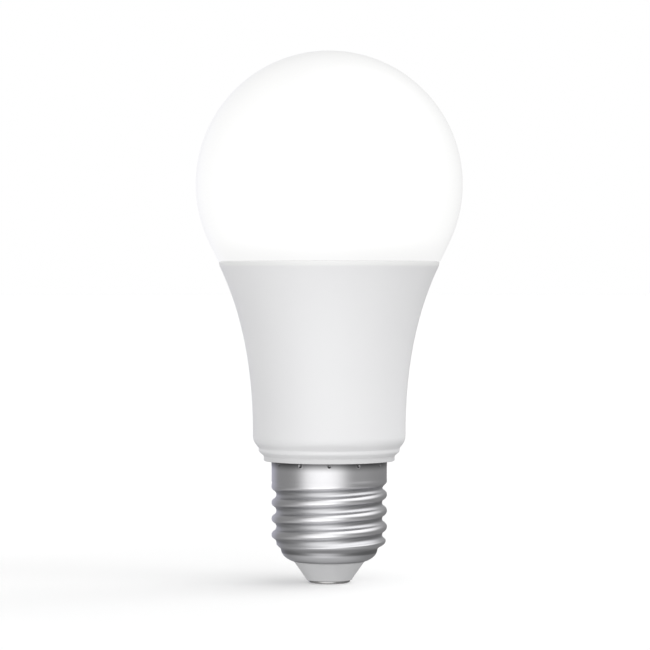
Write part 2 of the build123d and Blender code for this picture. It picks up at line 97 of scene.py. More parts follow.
# %% Spin an outline into a surface
def spun(name, outline, steps):
    """A surface of revolution about Z from (radius, height) points in millimetres."""
    bpy.ops.object.select_all(action="DESELECT")
    bpy.ops.mesh.primitive_plane_add(size=mm)
    piece = bpy.context.object
    piece.name = name
    bpy.ops.object.mode_set(mode="EDIT")
    bpy.ops.mesh.select_mode(type="VERT")
    bpy.ops.mesh.select_all(action="SELECT")
    bpy.ops.mesh.merge(type="CENTER")
    bpy.ops.transform.translate(value=(outline[0][0] * mm, 0, outline[0][1] * mm))
    for here, there in zip(outline, outline[1:]):
        move = ((there[0] - here[0]) * mm, 0, (there[1] - here[1]) * mm)
        bpy.ops.mesh.extrude_vertices_move(TRANSFORM_OT_translate={"value": move})
    bpy.ops.mesh.select_all(action="SELECT")
    bpy.ops.mesh.spin(steps=steps, angle=2 * math.pi, center=(0, 0, 0), axis=(0, 0, 1))
    bpy.ops.mesh.select_all(action="SELECT")
    bpy.ops.mesh.remove_doubles(threshold=0.002 * mm)
    bpy.ops.mesh.normals_make_consistent(inside=False)
    bpy.ops.object.mode_set(mode="OBJECT")
    return piece


def finished(piece, node, angle=35):
    """Smooths the piece, lets it ride with the bulb, and puts it in place of its measured node."""
    bpy.ops.object.select_all(action="DESELECT")
    piece.select_set(True)
    bpy.context.view_layer.objects.active = piece
    bpy.ops.object.shade_smooth_by_angle(angle=math.radians(angle))
    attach(piece, "root")
    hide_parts(node)
    triangles = sum(len(face.vertices) - 2 for face in piece.data.polygons)
    print(piece.name, "triangles:", triangles)
    return piece


# %% [markdown]
# ## The opal dome
# The real dome is blown or moulded from milky plastic: most of a sphere that runs into a short cone,
# then a shoulder that sits on the housing's rim and a neck with a snap bead that is glued inside.
# A sphere primitive would have no cone and no wall, so the outline of the whole wall is spun.

# %% Spin the dome
top = 120.0
dome_radius = 30.1
dome_centre = top - dome_radius
dome_cone = 25.6
dome_wall = 1.2
dome_edge = 0.22
seam = 72.6
seam_radius = 25.08


def dome_outline():
    """Outer wall from the pole to the seam, the neck, and the inner wall back to the pole."""
    slope = math.tan(math.radians(dome_cone))
    inner = dome_radius - dome_wall
    shoulder = seam + dome_wall
    outer_wall = arc((0, dome_centre), dome_radius, 90, -dome_cone, 84)
    inner_wall = arc((0, dome_centre), inner, -dome_cone, 90, 40)
    inner_end = inner_wall[0][0] - (inner_wall[0][1] - shoulder) * slope
    edge_centre = (seam_radius + dome_edge * slope - dome_edge, seam + dome_edge)
    rounding = arc(edge_centre, dome_edge, -10, -90, 6)
    neck = [
        (22.6, seam), (22.6, 70.9), (22.9, 70.4), (22.6, 69.9), (22.6, 69.7), (21.6, 69.7), (21.6, shoulder),
    ]
    cone = line(outer_wall[-1], rounding[0], 8)[1:]
    return outer_wall + cone + rounding + neck + [(inner_end, shoulder)] + inner_wall


dome = finished(spun("opal_dome", dome_outline(), 192), "diffuser_dome")

# %% [markdown]
# ## The flared housing
# The housing is one moulding: an upright rim under the seam, a long hollow flare, a short upright
# stretch, and a collar that steps in twice above the metal cap. The flare is one curve with two
# handles, and the steps are short arcs, so that light rolls over every edge as it does on moulded
# plastic.

# %% Spin the housing
flare_top = (24.72, 71.5)
flare_foot = (17.25, 34.0)
top_handle = 10
foot_handle = 15
flare_wall = 1.4
cap_top = 27.6


def flare(inset):
    """The flare from its foot to its top, moved inward by inset."""
    slope = math.tan(math.radians(dome_cone))
    foot = (flare_foot[0] - inset, flare_foot[1])
    head = (flare_top[0] - inset, flare_top[1])
    above_foot = (foot[0], foot[1] + foot_handle)
    below_head = (head[0] - top_handle * slope, head[1] - top_handle)
    return handled_curve(foot, above_foot, below_head, head, 64)


def collar_outline():
    """The collar from the ring's bottom edge up to the flare's foot."""
    ring = arc((14.59, 27.8), 0.2, -90, 0, 5)
    ring_shoulder = handled_curve((14.79, 28.55), (14.82, 29.0), (15.9, 29.3), (15.93, 30.05), 14)
    groove = [(15.93, 30.38), (15.97, 30.48), (16.05, 30.62)]
    upper = handled_curve((16.05, 30.62), (16.65, 31.4), (17.25, 32.0), (17.25, 33.3), 16)
    return ring + ring_shoulder + groove + upper[1:]


def housing_outline():
    """The closed outline of the wall: neck bottom, collar, flare, rim, and the inside back down."""
    rim = [(24.8, 71.85), (24.84, 72.1)] + arc((24.6, 72.34), 0.26, 0, 90, 6)
    bore = [(23.0, 72.6), (23.0, 69.6)]
    inside = [point for point in reversed(flare(flare_wall)) if point[1] < 69.5]
    funnel = [(15.4, 31.8), (10.2, cap_top), (10.2, 10.2)]
    neck = [(11.5, 10.2), (11.5, 21.4), (12.7, 23.2), (12.7, cap_top)]
    outline = neck + collar_outline() + flare(0) + rim + bore + inside + funnel
    return outline + [neck[0]]


housing = finished(spun("flared_housing", housing_outline(), 192), "housing_shell", 32)

# %% [markdown]
# ## The rolled screw shell
# The cap is a thin metal cup. Its thread is rolled in, so crest and groove are the same soft arc, and
# it runs out gently into the plain band above and the bowl below. A Screw modifier gives a thread of
# constant depth that stops dead at both ends. Here the plain cup is spun first, and then each of its
# vertices is moved to the radius that a formula gives for its angle and height.

# %% The thread's formula
cap_radius = 13.05
thread_depth = 1.1
thread_pitch = 3.629
crest_height = 12.65
thread_top = 23.2
thread_foot = 7.6
run_out = 2.0
run_in = 2.8
bowl_radius = 10.95
bowl_blend = 1.3


def fade(amount):
    """Zero below 0, one above 1, smooth between."""
    clipped = min(1.0, max(0.0, amount))
    return clipped * clipped * (3 - 2 * clipped)


def wave(distance):
    """Depth below the crest at an axial distance from it: two equal arcs that meet tangentially."""
    half = thread_pitch / 2
    offset = abs((distance + half) % thread_pitch - half)
    curve = (thread_depth ** 2 + half ** 2) / (4 * thread_depth)
    if offset <= half / 2:
        return curve - math.sqrt(curve ** 2 - offset ** 2)
    return thread_depth - curve + math.sqrt(curve ** 2 - (half - offset) ** 2)


def thread_radius(angle, height):
    """Outside radius of the shell at one angle and height, between the bowl and the band."""
    crest = crest_height + thread_pitch * angle / (2 * math.pi)
    depth = wave(height - crest) * fade((thread_top - height) / run_out)
    root = cap_radius - thread_depth
    ridge = (cap_radius - depth - root) * fade((height - thread_foot + 0.2) / run_in)
    base = root - (root - bowl_radius) * (1 - fade((height - thread_foot) / bowl_blend))
    return base + ridge


# %% Spin the cup and roll the thread into it
thread_rows = 104
dent_band = 26.4
outer_skin = 12.9


def cup_outline():
    """The closed outline of the cup's wall, with plain steps where the thread will be."""
    bowl = handled_curve((8.05, 4.86), (9.6, 5.25), (10.85, 6.3), (10.9, 7.5), 20)
    rise = (thread_top - thread_foot) / thread_rows
    thread = [(cap_radius, thread_foot + rise * row) for row in range(thread_rows + 1)]
    band = line((cap_radius, thread_top), (cap_radius, dent_band), 12)[1:]
    band += line((cap_radius, dent_band), (cap_radius, cap_top), 14) + [(cap_radius, cap_top)]
    inside = [(12.75, cap_top), (12.75, 23.6), (11.6, 21.9), (11.6, 9.4)]
    inside_bowl = [(10.6, 7.8), (10.5, 7.2), (9.6, 5.9), (8.1, 5.2)]
    return bowl + thread + band + inside + inside_bowl + [bowl[0]]


def roll_thread(cup):
    """Moves the cup's outer vertices to the thread's radius."""
    for vertex in cup.data.vertices:
        x, y, z = (value / mm for value in vertex.co)
        radius = math.hypot(x, y)
        if radius > outer_skin and thread_foot - 0.01 <= z <= thread_top:
            target = thread_radius(math.atan2(y, x), z)
            vertex.co.x *= target / radius
            vertex.co.y *= target / radius


cup = spun("screw_shell", cup_outline(), 288)
roll_thread(cup)

# %% [markdown]
# ### Punch marks
# Twelve round dents in the band hold the cap on the housing's neck. The band's faces are too coarse for
# them, so the faces around each are subdivided twice, and then the vertices within a dent's reach are
# pressed in. The metal that is pushed aside stands up as a faint lip around the dent. Faces are chosen
# in code, and what was selected before is let go first, or the whole cup would be subdivided.

# %% Press the punch marks
dents = 12
dent_height = 27.0
dent_reach = 0.45
dent_depth = 0.2
dent_lip = 0.03
dent_patch = 0.75


def dent_distance(x, y, z):
    """How far a point on the band is from the middle of the nearest dent, in millimetres."""
    spacing = 2 * math.pi / dents
    angle = math.atan2(y, x) + math.pi / 2
    offset = (angle + spacing / 2) % spacing - spacing / 2
    return math.hypot(offset * cap_radius, z - dent_height)


def press_dents(cup):
    """Refines the faces near each dent and moves their vertices in or out along the radius."""
    bpy.ops.object.mode_set(mode="EDIT")
    bpy.ops.mesh.select_mode(type="FACE")
    bpy.ops.mesh.select_all(action="DESELECT")
    bpy.ops.object.mode_set(mode="OBJECT")
    for _ in range(2):
        for face in cup.data.polygons:
            x, y, z = (value / mm for value in face.center)
            face.select = math.hypot(x, y) > outer_skin and dent_distance(x, y, z) < dent_patch
        bpy.ops.object.mode_set(mode="EDIT")
        bpy.ops.mesh.subdivide(number_cuts=1)
        bpy.ops.mesh.select_all(action="DESELECT")
        bpy.ops.object.mode_set(mode="OBJECT")
    for vertex in cup.data.vertices:
        x, y, z = (value / mm for value in vertex.co)
        radius = math.hypot(x, y)
        if radius < outer_skin or z < thread_top + 0.1:
            continue
        share = dent_distance(x, y, z) / dent_reach
        lip = dent_lip * math.exp(-((share - 1.15) / 0.22) ** 2)
        target = min(cap_radius, cap_radius - dent_lip - dent_depth * (1 - fade(share)) + lip)
        vertex.co.x *= target / radius
        vertex.co.y *= target / radius


bpy.ops.object.select_all(action="DESELECT")
cup.select_set(True)
bpy.context.view_layer.objects.active = cup
press_dents(cup)
screw_shell = finished(cup, "cap_shell", 50)

# %% [markdown]
# ## The insulator and the centre contact
# The insulator is a short moulded cone between the shell and the contact. The contact is a thin
# pressed disc, rounded at its edge, with a hollow stem that goes up through the insulator.

# %% Spin the insulator and the contact
insulator_outline = (
    [(5.0, 0.66), (5.12, 0.7), (5.2, 0.8)]
    + handled_curve((5.25, 0.9), (6.0, 2.0), (7.0, 3.4), (7.78, 4.5), 16)
    + [(7.9, 4.75), (7.95, 4.9), (7.95, 5.25), (8.1, 5.3), (9.6, 6.2), (10.4, 7.4), (10.4, 8.5), (8.9, 8.5)]
    + [(8.9, 5.6), (7.0, 3.8), (2.6, 3.8), (2.6, 4.6), (1.5, 4.6), (1.5, 0.66), (5.0, 0.66)]
)
insulator = finished(spun("insulator_cone", insulator_outline, 128), "cap_insulator")

contact_outline = (
    [(0, 0)]
    + line((1.0, 0), (3.2, 0), 4)
    + handled_curve((3.2, 0), (4.1, 0), (4.74, 0.08), (4.74, 0.42), 10)
    + [(4.72, 0.56), (4.64, 0.64), (4.5, 0.65), (1.5, 0.65), (1.5, 6.0), (0.65, 6.0), (0.65, 1.5), (0, 1.5)]
)
contact = finished(spun("contact_disc", contact_outline, 128), "centre_contact")

# %% [markdown]
# ## Finishes from nodes
# A finish is a node tree. Maths on its values is written as Python: a small class wraps an output
# socket, and +, -, * and / on it add Math nodes. Every other node comes from one method, add, which
# takes the node's type, its settings, and what goes into its sockets.

# %% A socket that knows arithmetic
class Value:
    """One output socket of a finish; operators on it add Math nodes."""

    def __init__(self, finish, socket):
        self.finish = finish
        self.socket = socket

    def math(self, operation, first, second=0.0):
        return self.finish.add("ShaderNodeMath", {"operation": operation}, {0: first, 1: second})

    def root(self):
        return self.math("SQRT", self)

    def __add__(self, other):
        return self.math("ADD", self, other)

    def __radd__(self, other):
        return self.math("ADD", other, self)

    def __sub__(self, other):
        return self.math("SUBTRACT", self, other)

    def __rsub__(self, other):
        return self.math("SUBTRACT", other, self)

    def __mul__(self, other):
        return self.math("MULTIPLY", self, other)

    def __rmul__(self, other):
        return self.math("MULTIPLY", other, self)

    def __truediv__(self, other):
        return self.math("DIVIDE", self, other)

    def __rtruediv__(self, other):
        return self.math("DIVIDE", other, self)


class Finish:
    """A material whose Principled shader is reached by socket names."""

    def __init__(self, name, **constants):
        self.material = bpy.data.materials.new(name)
        self.material.use_nodes = True
        self.tree = self.material.node_tree
        self.shader = self.tree.nodes["Principled BSDF"]
        for label, value in constants.items():
            self.shader.inputs[label.replace("_", " ")].default_value = value

    def put(self, value, socket):
        """Links a Value into a socket, or sets a plain number or colour."""
        if isinstance(value, Value):
            self.tree.links.new(value.socket, socket)
        elif isinstance(value, tuple) and len(value) == 3 and socket.type == "RGBA":
            socket.default_value = (*value, 1.0)
        else:
            socket.default_value = value

    def add(self, kind, settings=None, inputs=None, output=0):
        """Adds one node, sets it up, fills its sockets and returns one of its outputs."""
        node = self.tree.nodes.new(kind)
        for key, value in (settings or {}).items():
            setattr(node, key, value)
        for key, value in (inputs or {}).items():
            self.put(value, node.inputs[key])
        return Value(self, node.outputs[output])

    def shade(self, label, value):
        """Feeds one socket of the shader."""
        self.put(value, self.shader.inputs[label])

    def place(self):
        """Object coordinates in millimetres."""
        raw = self.add("ShaderNodeTexCoord", output="Object")
        scale = {"operation": "SCALE"}
        return self.add("ShaderNodeVectorMath", scale, {0: raw, "Scale": 1 / mm})

    def part(self, vector, axis):
        """One of a vector's three parts."""
        return self.add("ShaderNodeSeparateXYZ", inputs={0: vector}, output=axis)

    def at(self, axes):
        """The object coordinates named by the letters, in millimetres: one value, or a list."""
        place = self.place()
        values = [self.part(place, axis) for axis in axes]
        return values if len(values) > 1 else values[0]

    def normal(self, axis):
        """One part of the surface normal, in the object's own axes."""
        return self.part(self.add("ShaderNodeTexCoord", output="Normal"), axis)

    def noise(self, place, scale, detail=2.0, stretch=None):
        """Noise from 0 to 1, with scale in turns per millimetre, optionally stretched along an axis."""
        if stretch:
            place = self.add("ShaderNodeMapping", inputs={"Vector": place, "Scale": stretch})
        sockets = {"Vector": place, "Scale": scale, "Detail": detail}
        return self.add("ShaderNodeTexNoise", inputs=sockets, output="Fac")

    def between(self, value, low, high, to_low=0.0, to_high=1.0):
        """A smooth step of a value from one range to another."""
        sockets = {0: value, 1: low, 2: high, 3: to_low, 4: to_high}
        return self.add("ShaderNodeMapRange", {"interpolation_type": "SMOOTHSTEP"}, sockets)

    def blend(self, share, first, second):
        """A mix of two colours."""
        sockets = {"Factor": share, 6: first, 7: second}
        return self.add("ShaderNodeMix", {"data_type": "RGBA"}, sockets, output=2)

    def bump(self, height, distance, strength=0.5):
        """Feeds a height, with a distance in millimetres, into the shader's normal. The last one counts."""
        sockets = {"Height": height, "Distance": distance * mm, "Strength": strength}
        self.shade("Normal", self.add("ShaderNodeBump", inputs=sockets))


finishes = {}

# %% [markdown]
# ## The opal plastic
# Most of the lit dome's brightness is its own glow, and the rest is the studio's light on a milky satin skin
# with faint flow marks from the mould. Beside the seam, where the wall is thick and the rim is near, the skin
# is painted dark, as painted shade from the rim, so it takes little light from outside, and the glow is
# stronger there, so an even pale band runs round it.
# A plain emission would look flat, and a plain white skin would look switched off.

# %% Opal plastic
glow_at_seam = 0.865
glow_lost_above = 0.255


def opal_plastic():
    gloss = {"Specular_IOR_Level": 0.35, "Coat_Weight": 0.35, "Coat_Roughness": 0.25}
    finish = Finish("opal_plastic", Emission_Strength=1.0, **gloss)
    place = finish.place()
    flow = finish.noise(place, 0.06, 3.0, (1, 1, 0.4))
    grain = finish.noise(place, 3.0, 2.0)
    above_seam = finish.between(finish.at("Z"), seam, 78.5)
    skin = finish.blend(flow, (0.44, 0.44, 0.435), (0.46, 0.46, 0.455))
    # Painted shade: near the seam the skin is near-black, standing for the housing rim's shade, and the glow
    # is raised there to make up for it.
    glow = glow_at_seam - above_seam * glow_lost_above + flow * 0.02
    finish.shade("Base Color", finish.blend(above_seam, (0.06, 0.06, 0.058), skin))
    finish.shade("Emission Color", finish.add("ShaderNodeCombineColor", inputs={0: glow, 1: glow, 2: glow}))
    finish.shade("Roughness", 0.38 + grain * 0.1)
    finish.bump(grain, 0.01, 0.3)
    return finish


finishes["opal_plastic"] = opal_plastic()

# %% [markdown]
# ## White housing plastic
# A satin white with the finest spark-eroded grain. The thin rim under the seam is painted a shade brighter,
# as painted light from the dome, and the collar's lowest ring is painted a shade greyer, as painted shade.
# The underside over the cap is painted nearly black, as the painted shade of a narrow gap, and so it sends no
# light back on the metal.

# %% White housing plastic
def white_housing():
    finish = Finish("white_housing", Specular_IOR_Level=0.4)
    place = finish.place()
    z = finish.at("Z")
    cloud = finish.noise(place, 0.08, 3.0)
    grain = finish.noise(place, 6.0, 2.0)
    # Painted light: the rim under the seam is lighter, as if lit by the dome.
    rim = finish.between(z, 71.3, 71.7)
    # Painted shade: the underside over the cap is near-black.
    painted_underside_shade = finish.between(z, cap_top + 0.06, cap_top)
    # Painted shade: the collar's lowest ring is greyer.
    ring = finish.between(z, 29.1, 28.5)
    body = finish.blend(cloud, (0.79, 0.79, 0.80), (0.82, 0.82, 0.825))
    body = finish.blend(ring, body, (0.70, 0.70, 0.705))
    body = finish.blend(rim, body, (0.84, 0.84, 0.835))
    finish.shade("Base Color", finish.blend(painted_underside_shade, body, (0.05, 0.05, 0.05)))
    finish.shade("Roughness", 0.36 + grain * 0.08 + cloud * 0.06)
    finish.bump(grain, 0.012, 0.35)
    return finish


finishes["white_housing"] = white_housing()

# %% [markdown]
# ## Rolled cap metal
# Bright metal that has been rolled: fine lines run around it, and the crests are burnished by the rollers.
# Painted shade darkens the colour under each turn, in the crease over the bowl, on the bowl's lip, and at the
# top of the band, under the collar. How far a point is from its crest comes from its height and its angle, as
# it did when the thread was rolled.

# %% Rolled cap metal
def cap_metal():
    finish = Finish("cap_metal", Metallic=1.0, Anisotropic=0.5)
    place = finish.place()
    x, y, z = finish.at("XYZ")
    lines = finish.noise(place, 1.0, 3.0, (0.25, 0.25, 9.0))
    stain = finish.noise(place, 0.35, 4.0)
    crest = finish.between((x * x + y * y).root(), 12.0, 12.95)
    turns = (z - crest_height) / thread_pitch - y.math("ARCTAN2", y, x) / (2 * math.pi)
    phase = turns.math("FRACT", turns)
    # Painted shade on the underside of each turn.
    painted_turn_shade = finish.between(phase, 0.40, 0.62) * finish.between(phase, 0.88, 0.68)
    painted_turn_shade = painted_turn_shade * finish.between(z, thread_top, thread_top - 1.5) * finish.between(z, 7.4, 9.0)
    # Painted shadow at the top of the band, under the collar.
    painted_collar_shadow = finish.between(z, 25.4, cap_top)
    # Painted shade in the crease over the bowl.
    painted_crease_shade = finish.between(z, 6.6, 7.1) * finish.between(z, 8.6, 7.5)
    # Painted shade on the bowl's lip, where it meets the insulator.
    lip = finish.between(z, 5.5, 5.0)
    metal = finish.blend(crest, (0.74, 0.74, 0.76), (0.84, 0.835, 0.85))
    metal = finish.blend(stain * 0.35, metal, (0.66, 0.66, 0.68))
    metal = finish.blend(painted_turn_shade * 0.75, metal, (0.34, 0.34, 0.35))
    metal = finish.blend(painted_collar_shadow, metal, (0.16, 0.16, 0.165))
    metal = finish.blend(painted_crease_shade, metal, (0.34, 0.34, 0.35))
    metal = finish.blend(lip * 0.8, metal, (0.26, 0.26, 0.27))
    finish.shade("Base Color", metal)
    finish.shade("Roughness", 0.30 - crest * 0.06 + lines * 0.06 + stain * 0.05)
    finish.bump(lines, 0.01, 0.4)
    return finish


finishes["cap_metal"] = cap_metal()

# %% [markdown]
# ## Insulator plastic and contact metal
# The insulator is a dull grey moulding with a slightly cloudy skin. The contact is nickel-plated and has
# fine turned rings from its press tool.

# %% Insulator plastic and contact metal
def insulator_plastic():
    finish = Finish("insulator_plastic", Specular_IOR_Level=0.3)
    place = finish.place()
    cloud = finish.noise(place, 0.5, 4.0)
    grain = finish.noise(place, 8.0, 2.0)
    finish.shade("Base Color", finish.blend(cloud, (0.56, 0.56, 0.57), (0.62, 0.62, 0.625)))
    finish.shade("Roughness", 0.55 + grain * 0.12)
    finish.bump(grain, 0.015, 0.4)
    return finish


def contact_metal():
    finish = Finish("contact_metal", Metallic=1.0)
    x, y = finish.at("XY")
    radius = (x * x + y * y).root()
    rings = finish.noise(finish.add("ShaderNodeCombineXYZ", inputs={0: radius}), 6.0, 2.0)
    stain = finish.noise(finish.place(), 0.8, 3.0)
    finish.shade("Base Color", finish.blend(stain, (0.46, 0.455, 0.45), (0.56, 0.555, 0.55)))
    finish.shade("Roughness", 0.14 + rings * 0.12)
    finish.bump(rings, 0.01, 0.4)
    return finish


finishes["insulator_plastic"] = insulator_plastic()
finishes["contact_metal"] = contact_metal()

# %% [markdown]
# ## Layers over a finish
# Many inner parts are two materials in one measured piece: a chip and its legs, a can and its bare lid.
# Splitting the mesh would change a measured piece, so a mask chooses instead: where it is one, a second
# colour, roughness and metalness lie over the first.

# %% Masks and layers
def over(finish, mask, colour, roughness, metallic=0.0):
    """Lays a second material over a finish where the mask is one."""
    for label, value in (("Base Color", colour), ("Roughness", roughness), ("Metallic", metallic)):
        socket = finish.shader.inputs[label]
        below = Value(finish, socket.links[0].from_socket) if socket.is_linked else socket.default_value
        if label == "Base Color":
            finish.shade(label, finish.blend(mask, below, value))
        else:
            finish.shade(label, below + mask * (value - below))


def stripe(finish, value, low, high, soft=0.05):
    """A mask that is one between two limits."""
    return finish.between(value, low - soft, low) * finish.between(value, high + soft, high)


def nearest(value, spacing, offset=0.0):
    """Distance from a value to the nearest of lines that repeat at a spacing."""
    shifted = value - offset
    return shifted.math("PINGPONG", shifted, spacing / 2)


# %% [markdown]
# ## Mouldings and worked metals
# Most inner parts are either a moulding with a cloudy colour and a fine spark-eroded skin, or a metal
# with lines from its tool. One function makes each kind, and each part gives its own colours, gloss and
# the direction of its lines. Flat colours would be quicker, but nothing made of one real material is
# one flat colour.

# %% A moulding and a worked metal
def moulded(name, dark, light, roughness, grain=6.0, depth=0.012, **constants):
    """A moulding: cloudy colour, uneven gloss and a fine grain."""
    finish = Finish(name, **constants)
    place = finish.place()
    cloud = finish.noise(place, 0.35, 3.0)
    skin = finish.noise(place, grain, 2.0)
    finish.shade("Base Color", finish.blend(cloud, dark, light))
    finish.shade("Roughness", roughness - 0.06 + skin * 0.08 + cloud * 0.06)
    finish.bump(skin, depth, 0.4)
    return finish


def worked_metal(name, dull, bright, roughness, stretch, depth=0.008):
    """A metal with tool lines along one direction and a patchy stain."""
    finish = Finish(name, Metallic=1.0)
    place = finish.place()
    lines = finish.noise(place, 1.0, 3.0, stretch)
    stain = finish.noise(place, 0.6, 4.0)
    finish.shade("Base Color", finish.blend(stain, dull, bright))
    finish.shade("Roughness", roughness - 0.06 + lines * 0.1 + stain * 0.06)
    finish.bump(lines, depth, 0.4)
    return finish


tin = (0.72, 0.71, 0.69)

# %% [markdown]
# ## The seal, the heat sink and its pad
# The seal is soft milky silicone. The heat sink cup is deep-drawn aluminium with lines along its height,
# and the pad is a filled silicone sheet, flecked with the grains that carry the heat.

# %% Seal, heat sink and pad
def thermal_pad():
    finish = moulded("thermal_pad", (0.42, 0.43, 0.46), (0.50, 0.51, 0.54), 0.72, 3.0, 0.03)
    flecks = finish.between(finish.noise(finish.place(), 5.0, 1.0), 0.62, 0.70)
    over(finish, flecks * 0.6, (0.74, 0.75, 0.78), 0.6)
    return finish


finishes["silicone"] = moulded("silicone", (0.74, 0.74, 0.72), (0.82, 0.82, 0.80), 0.46, 2.0, 0.02)
finishes["aluminium"] = worked_metal("aluminium", (0.70, 0.71, 0.72), (0.84, 0.845, 0.85), 0.36, (3, 3, 0.12))
finishes["thermal_pad"] = thermal_pad()

# %% [markdown]
# ## The light board and its light sources
# The light board is an aluminium disc under a white mask. Two round copper tracks join the light
# sources and show as slight ridges with a warmer tint. The packages are white with tinned ends, and
# the phosphor is a grainy gel: orange for warm light, pale yellow for cool light.

# %% Light board, packages and phosphor
mask_bottom = 69.0


def white_mask_board():
    finish = moulded("white_mask_board", (0.83, 0.83, 0.82), (0.87, 0.87, 0.86), 0.34, 5.0)
    x, y, z = finish.at("XYZ")
    radius = (x * x + y * y).root()
    tracks = stripe(finish, radius, 14.2, 15.3, 0.08) + stripe(finish, radius, 16.7, 17.8, 0.08)
    over(finish, tracks * 0.35, (0.86, 0.80, 0.70), 0.3)
    core = finish.between(z, mask_bottom + 0.02, mask_bottom - 0.04)
    over(finish, core, (0.78, 0.79, 0.80), 0.35, 1.0)
    finish.bump(tracks, 0.035, 0.8)
    return finish


def led_package():
    finish = moulded("led_package", (0.80, 0.80, 0.78), (0.88, 0.88, 0.86), 0.4, 8.0)
    foot = finish.between(finish.at("Z"), mask_bottom + 0.30, mask_bottom + 0.22)
    over(finish, foot, tin, 0.25, 1.0)
    return finish


def phosphor(name, dark, light, glow):
    finish = moulded(name, dark, light, 0.3, 9.0, 0.02, Emission_Strength=1.5)
    grain = finish.between(finish.noise(finish.place(), 12.0, 1.0), 0.35, 0.65)
    dim = tuple(channel * 0.8 for channel in glow)
    finish.shade("Emission Color", finish.blend(grain, dim, glow))
    return finish


finishes["white_mask_board"] = white_mask_board()
finishes["led_package"] = led_package()
orange_gel = ((0.85, 0.50, 0.12), (0.95, 0.62, 0.2))
yellow_gel = ((0.86, 0.82, 0.30), (0.93, 0.90, 0.45))
finishes["warm_phosphor"] = phosphor("warm_phosphor", *orange_gel, (1.0, 0.74, 0.42))
finishes["cool_phosphor"] = phosphor("cool_phosphor", *yellow_gel, (0.93, 0.96, 1.0))

# %% [markdown]
# ## Screws, pins and their socket
# The screws are zinc-plated steel with rings from the header, dull and painted darker in the cross recess, as
# painted shade. The pins have a thin gold plating that is worn to nickel at their tips, and the socket is
# ivory nylon.

# %% Screws, pins and socket
def steel_screw():
    finish = worked_metal("steel_screw", (0.58, 0.58, 0.57), (0.74, 0.74, 0.73), 0.3, (0.4, 0.4, 6))
    faces_up = finish.between(finish.normal("Z"), 0.0, 0.9)
    # Painted shade: the cross recess is darker and rougher.
    painted_recess_shade = stripe(finish, finish.at("Z"), mask_bottom + 0.4, mask_bottom + 0.95) * faces_up
    over(finish, painted_recess_shade * 0.7, (0.25, 0.25, 0.25), 0.5, 1.0)
    return finish


def gold_pin():
    finish = worked_metal("gold_pin", (0.83, 0.62, 0.26), (0.95, 0.76, 0.38), 0.24, (8, 8, 0.3))
    worn = finish.between(finish.at("Z") + finish.noise(finish.place(), 2.0) * 0.6, 71.9, 72.3)
    over(finish, worn, (0.70, 0.67, 0.60), 0.3, 1.0)
    return finish


finishes["steel_screw"] = steel_screw()
finishes["gold_pin"] = gold_pin()
finishes["ivory_plastic"] = moulded("ivory_plastic", (0.78, 0.74, 0.62), (0.85, 0.81, 0.70), 0.42, 4.0)

# %% [markdown]
# ## Circuit boards
# A board is glass cloth in resin, with copper tracks under a coloured mask. Tracks run up or across in
# patches, so a coarse noise chooses between two sets of lines. Round tinned pads sit on a wider grid, each
# with a near-black middle that is painted shade for a hole, and at the board's edges the pale glass core
# shows.

# %% Circuit boards
track_spacing = 1.3
pad_spacing = 3 * track_spacing


def circuit_board(name, mask_dark, mask_light, over_copper):
    finish = moulded(name, mask_dark, mask_light, 0.3, 5.0, 0.006, Coat_Weight=0.4, Coat_Roughness=0.2)
    x, z = finish.at("XZ")
    choice = finish.between(finish.noise(finish.place(), 0.11, 0.0), 0.48, 0.52)
    upright = finish.between(nearest(x, track_spacing), 0.26, 0.2) * choice
    across = finish.between(nearest(z, track_spacing), 0.26, 0.2) * (1 - choice)
    tracks = upright + across
    over(finish, tracks * 0.7, over_copper, 0.26)
    off_x = nearest(x, pad_spacing, track_spacing / 2)
    off_z = nearest(z, pad_spacing, track_spacing / 2)
    off_grid = (off_x * off_x + off_z * off_z).root()
    pads = finish.between(off_grid, 0.55, 0.5)
    over(finish, pads, tin, 0.3, 1.0)
    # Painted shade: a near-black spot in each pad stands for a hole.
    painted_hole_shade = finish.between(off_grid, 0.24, 0.2)
    over(finish, painted_hole_shade, (0.05, 0.05, 0.05), 0.8)
    weave = nearest(x + z, 0.5) + nearest(x - z, 0.5)
    faces_front = finish.normal("Y")
    edge = finish.between(faces_front * faces_front, 0.6, 0.4)
    over(finish, edge, (0.60, 0.58, 0.42), 0.75)
    finish.bump(tracks + pads * 1.3 - painted_hole_shade + weave * 0.2, 0.035, 0.8)
    return finish


board_colours = {
    "green_board": ((0.01, 0.11, 0.05), (0.02, 0.15, 0.07), (0.05, 0.27, 0.10)),
    "blue_board": ((0.01, 0.05, 0.17), (0.02, 0.07, 0.23), (0.05, 0.15, 0.36)),
}
for name, colours in board_colours.items():
    finishes[name] = circuit_board(name, *colours)

# %% [markdown]
# ## Capacitors, varistor and resistors
# An electrolytic can wears a glossy black sleeve with a pale stripe on its negative side, and its lid
# and legs are bare metal. The varistor is dipped in lacquer that dries with a slight orange peel. The
# fusible resistor has colour rings on a ceramic body, and its sleeve is shrunk over it.

# %% Capacitors, varistor and resistors
def sleeved_can(node):
    low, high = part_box(node)
    bottom = low[2] / mm + 1.7
    middle = (low[0] + high[0]) / 2 / mm
    finish = moulded("black_sleeve_" + node, (0.02, 0.02, 0.025), (0.04, 0.04, 0.045), 0.24, 2.0, 0.01)
    x, z = finish.at("XZ")
    side = stripe(finish, x, middle + 1.2, middle + 2.8) * finish.between(finish.normal("Y"), -0.1, 0.1)
    over(finish, side, (0.62, 0.63, 0.64), 0.3)
    over(finish, finish.between(finish.normal("Z"), 0.75, 0.9), (0.76, 0.76, 0.77), 0.32, 1.0)
    over(finish, finish.between(z, bottom + 0.02, bottom - 0.02), tin, 0.3, 1.0)
    return finish


